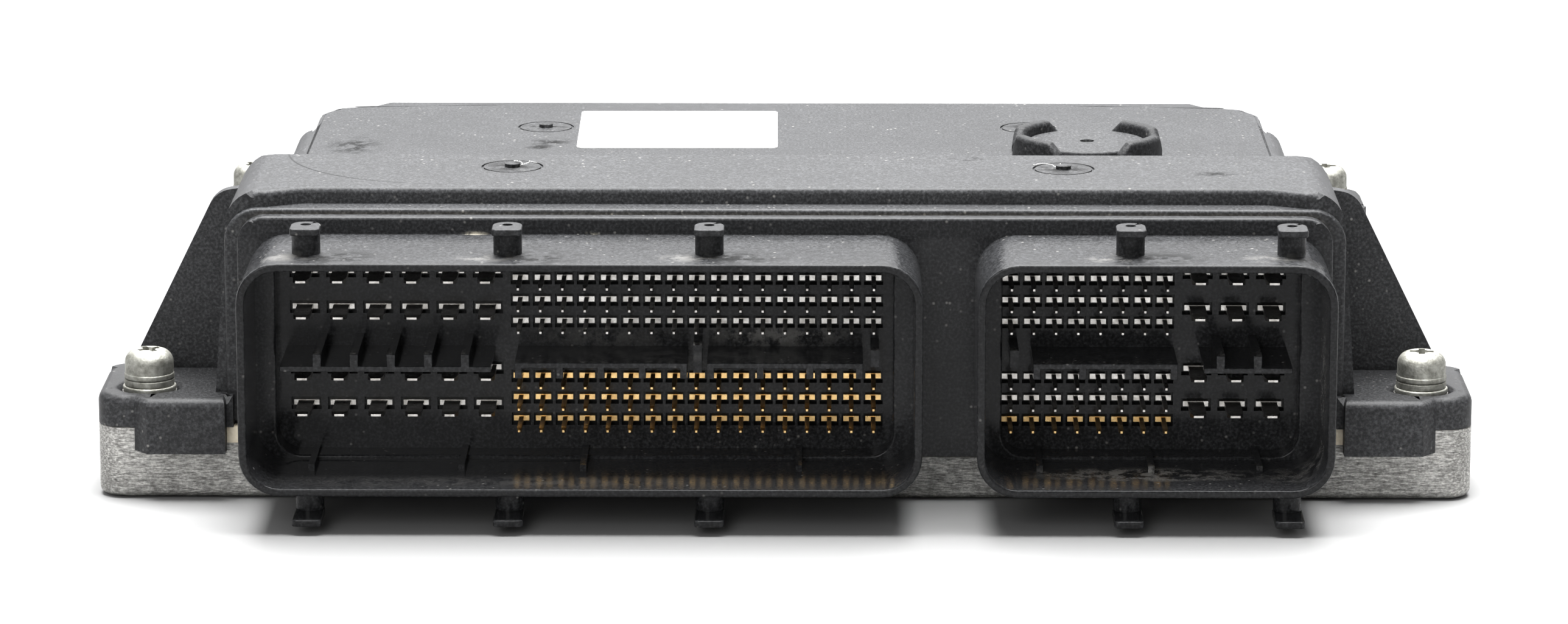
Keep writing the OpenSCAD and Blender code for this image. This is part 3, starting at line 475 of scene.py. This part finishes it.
def level_faces(made, height):
    return [f for f in made.faces if all(at(v.co.z / MM, height, LEVEL_NEAR) for v in f.verts)]


def refill_level(made, height):
    """Fills the level faces at a height again from their outline, which rounding has moved."""
    level = level_faces(made, height)
    inside = set(level)
    edges = {e for f in level for e in f.edges}
    outline = [e for e in edges if sum(f in inside for f in e.link_faces) == 1]
    cuts = [e for e in edges if sum(f in inside for f in e.link_faces) == 2]
    bmesh.ops.delete(made, geom=level, context="FACES_ONLY")
    bmesh.ops.delete(made, geom=cuts, context="EDGES")
    outline.sort(key=lambda e: tuple(c for v in e.verts for c in v.co))
    bmesh.ops.triangle_fill(made, edges=outline, use_beauty=True, normal=(0, 0, 1))


def flats(made):
    """Which flat each face belongs to, and the area of each flat."""
    flat_of = {}
    areas = []
    for first in made.faces:
        if first in flat_of:
            continue
        flat_of[first] = len(areas)
        area = 0.0
        queue = [first]
        while queue:
            face = queue.pop()
            area += face.calc_area()
            for edge in face.edges:
                for other in edge.link_faces:
                    if other not in flat_of and other.normal.dot(face.normal) > FLAT_COSINE:
                        flat_of[other] = len(areas)
                        queue.append(other)
        areas.append(area)
    return flat_of, areas


def corner_normals(made):
    """Corner normals in which wide flats outweigh the rounding beside them."""
    flat_of, areas = flats(made)
    limit = math.cos(math.radians(CREASE))
    normals = []
    for face in made.faces:
        for corner in face.loops:
            smooth = [f for f in corner.vert.link_faces if f.normal.dot(face.normal) > limit]
            beside = {flat_of[f]: f.normal for f in smooth}
            total = sum((normal * areas[flat] for flat, normal in beside.items()), Vector())
            normals.append(total.normalized())
    return normals


def rounds(edge):
    """Whether an edge stands out sharply enough to be rounded."""
    return len(edge.link_faces) == 2 and edge.is_convex and edge.calc_face_angle() > math.radians(SHARP)


def softened(name, radius_at, levels=(), whole=()):
    """Copy of a node with rounded edges: radius_at gives the radius at the middle of an edge."""
    mesh = nodes_by_name[name].data.copy()
    made = bmesh.new()
    made.from_mesh(mesh)
    bmesh.ops.remove_doubles(made, verts=made.verts, dist=MERGE)
    for height in whole:
        bmesh.ops.dissolve_faces(made, faces=level_faces(made, height))
    weights = made.edges.layers.float.new("bevel_weight_edge")
    for edge in made.edges:
        if rounds(edge):
            middle = (edge.verts[0].co + edge.verts[1].co) / (2 * MM)
            edge[weights] = radius_at(middle) / FULL_WIDTH
    made.to_mesh(mesh)
    made.free()

    piece = bpy.data.objects.new(name + "_soft", mesh)
    bpy.context.collection.objects.link(piece)
    bevel = piece.modifiers.new("edges", "BEVEL")
    bevel.limit_method = "WEIGHT"
    bevel.width = FULL_WIDTH * MM
    bevel.segments = BEVEL_STEPS
    bevel.use_clamp_overlap = False
    view = bpy.context.evaluated_depsgraph_get()
    rounded = bpy.data.meshes.new_from_object(piece.evaluated_get(view))
    piece.modifiers.clear()

    made = bmesh.new()
    made.from_mesh(rounded)
    for height in levels:
        refill_level(made, height)
    made.normal_update()
    for face in made.faces:
        face.smooth = True
    normals = corner_normals(made)
    made.to_mesh(rounded)
    made.free()
    rounded.normals_split_custom_set(normals)
    piece.data = rounded
    dress(piece, slot_of[name])
    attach(piece, ROOT)
    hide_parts(name)


def base_radius(p):
    if at(p.z, 0):
        return UNDERSIDE_R
    if at(p.z, RIM_Z) and (abs(p.x) > COVER_HALF + 2 or p.y < BASE_Y + 0.1):
        return RIM_R
    return 0.0


def cover_radius(p):
    front_ear = (abs(p.x) > COVER_HALF + 1 and p.y < FRONT_EAR_Y) or p.y < BASE_Y - 0.1
    rear_ear = abs(p.x) > COVER_HALF and p.y > REAR_EAR_Y
    if away(p, GATES) < GATE_REACH:
        return 0.0
    if away(p, [VENT_AT]) < VENT_REACH:
        return CLAW_R if p.z > CLAW_Z else 0.0
    if at(p.z, EAR_Z) and (front_ear or rear_ear):
        return EAR_R
    if at(p.z, BLOCK_Z):
        return BLOCK_R
    if at(p.z, REAR_Z) and (p.y > REAR_EDGE_Y or abs(p.x) > REAR_EDGE_X):
        return REAR_R
    if at(p.y, FRAME_Y) and p.z > EAR_Z + 1:
        return FRAME_R
    return 0.0


def header_radius(p):
    if at(p.y, SHROUD_Y):
        return LIP_R
    if at(p.y, FLANGE_Y) and (abs(p.x) > FLANGE_HALF or p.z > FLANGE_TOP_Z):
        return FLANGE_R
    if at(p.y, STEP_Y):
        return STEP_R
    if any(at(p.y, y) for y in SHELF_YS):
        return SHELF_R
    at_peg_end = p.z > PEG_CAP_Z or p.z < PEG_FOOT_Z
    if at_peg_end and p.y < STEP_Y and away(p, PEGS) >= PEG_HOLE:
        return PEG_R
    return 0.0


def cap_radius(p):
    return CAP_R if p.z > CLAW_Z and away(p, [VENT_AT]) > CAP_RIM else 0.0


def ring_radius(p):
    return RING_R if away(p, SCREWS) > RING_RIM else 0.0


softened("base", base_radius, whole=(0,))
softened("cover", cover_radius, levels=(REAR_Z, FRAME_Z, BLOCK_Z))
softened("connector_header", header_radius)
softened("vent_cap", cap_radius)
softened("cover_screws", ring_radius)
softened("spring_washers", ring_radius)
softened("flat_washers", ring_radius)


# Lint caught on the stubs of the two front gates


def lint(name, place, strands):
    """Thin curled fibres lying on the block round a gate: reach in plan, curl and turns of each."""
    curve = bpy.data.curves.new(name, "CURVE")
    curve.dimensions = "3D"
    curve.bevel_depth = FIBRE_R * MM
    curve.bevel_resolution = 1
    curve.use_fill_caps = True
    for across, along, curl, turns in strands:
        spline = curve.splines.new("POLY")
        spline.points.add(FIBRE_STEPS)
        for i, point in enumerate(spline.points):
            part = i / FIBRE_STEPS
            turn = 2 * math.pi * turns * part
            x = place[0] + across * part + curl * math.sin(turn)
            y = place[1] + along * part + curl * (1 - math.cos(turn))
            z = BLOCK_Z + FIBRE_LIFT + FIBRE_ARCH * math.sin(math.pi * part)
            point.co = (x * MM, y * MM, z * MM, 1)
    path = bpy.data.objects.new(name + "_path", curve)
    bpy.context.collection.objects.link(path)
    view = bpy.context.evaluated_depsgraph_get()
    piece = bpy.data.objects.new(name, bpy.data.meshes.new_from_object(path.evaluated_get(view)))
    bpy.data.objects.remove(path)
    bpy.context.collection.objects.link(piece)
    dress(piece, "white_film")
    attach(piece, ROOT)


lint("lint_left", (-38.4, -55.2), ((2.2, 1.6, 0.4, 1.0), (-1.4, 2.2, 0.3, 1.2)))
lint("lint_right", (39.0, -56.0), ((-3.4, 0.8, 0.4, 1.3), (1.8, 0.9, 0.3, 1.0)))


# Studio: plain floor, sky brighter behind than in front, soft boxes above, behind and in front


def make_floor():
    bpy.ops.mesh.primitive_plane_add(size=FLOOR_SIZE, location=(0, 0, cad_box[0].z - FLOOR_DROP))
    floor = bpy.context.object
    floor.name = "floor"
    paint = Surface("floor_paint", FLOOR_DARK, 0.9)
    paint.colour(paint.ramp(paint.noise(scale=3), [(0.0, FLOOR_DARK), (1.0, FLOOR_LIGHT)]))
    floor.data.materials.append(paint.material)


def make_sky(front, back, side):
    """White surroundings whose strength goes from front to back and drops low down at the sides."""
    side_from, side_to = 0.45, 0.9
    above_from, above_to = 0.25, 0.7
    world = bpy.data.worlds.new("studio")
    bpy.context.scene.world = world
    world.use_nodes = True
    tree = world.node_tree

    def add(kind, operation, *inputs):
        node = tree.nodes.new(kind)
        if operation:
            node.operation = operation
        for value, socket in zip(inputs, node.inputs):
            if isinstance(value, (int, float)):
                socket.default_value = value
            else:
                tree.links.new(value, socket)
        return node.outputs

    where = add("ShaderNodeTexCoord", None)["Generated"]
    axis = add("ShaderNodeSeparateXYZ", None, where)
    depth = add("ShaderNodeMapRange", None, axis["Y"], -1.0, 1.0, front, back)["Result"]
    aside = add("ShaderNodeMath", "ABSOLUTE", axis["X"])["Value"]
    beside = add("ShaderNodeMapRange", None, aside, side_from, side_to, 1.0, side)["Result"]
    above = add("ShaderNodeMapRange", None, axis["Z"], above_from, above_to, 0.0, 1.0)["Result"]
    shade = add("ShaderNodeMath", "MAXIMUM", beside, above)["Value"]
    strength = add("ShaderNodeMath", "MULTIPLY", depth, shade)["Value"]
    tree.links.new(strength, tree.nodes["Background"].inputs["Strength"])
    tree.nodes["Background"].inputs["Color"].default_value = (1, 1, 1, 1)


def make_light(name, place, aim, size, watts):
    data = bpy.data.lights.new(name, "AREA")
    data.size = size
    data.energy = watts
    light = bpy.data.objects.new(name, data)
    light.location = place
    light.rotation_mode = "QUATERNION"
    light.rotation_quaternion = (Vector(aim) - Vector(place)).to_track_quat("-Z", "Y")
    light.visible_camera = False
    bpy.context.collection.objects.link(light)


make_camera()
make_floor()
make_sky(front=0.35, back=1.2, side=0.2)
make_light("back_box", place=(0.0, 0.7, 0.8), aim=(0, 0, 0), size=0.9, watts=9)
make_light("top_box", place=(0.0, 0.05, 0.95), aim=(0, 0, 0), size=0.8, watts=55)
make_light("front_fill", place=(-0.4, -1.3, 0.6), aim=(0, -0.05, 0.02), size=0.7, watts=6)
bpy.context.scene.view_settings.view_transform = "Standard"
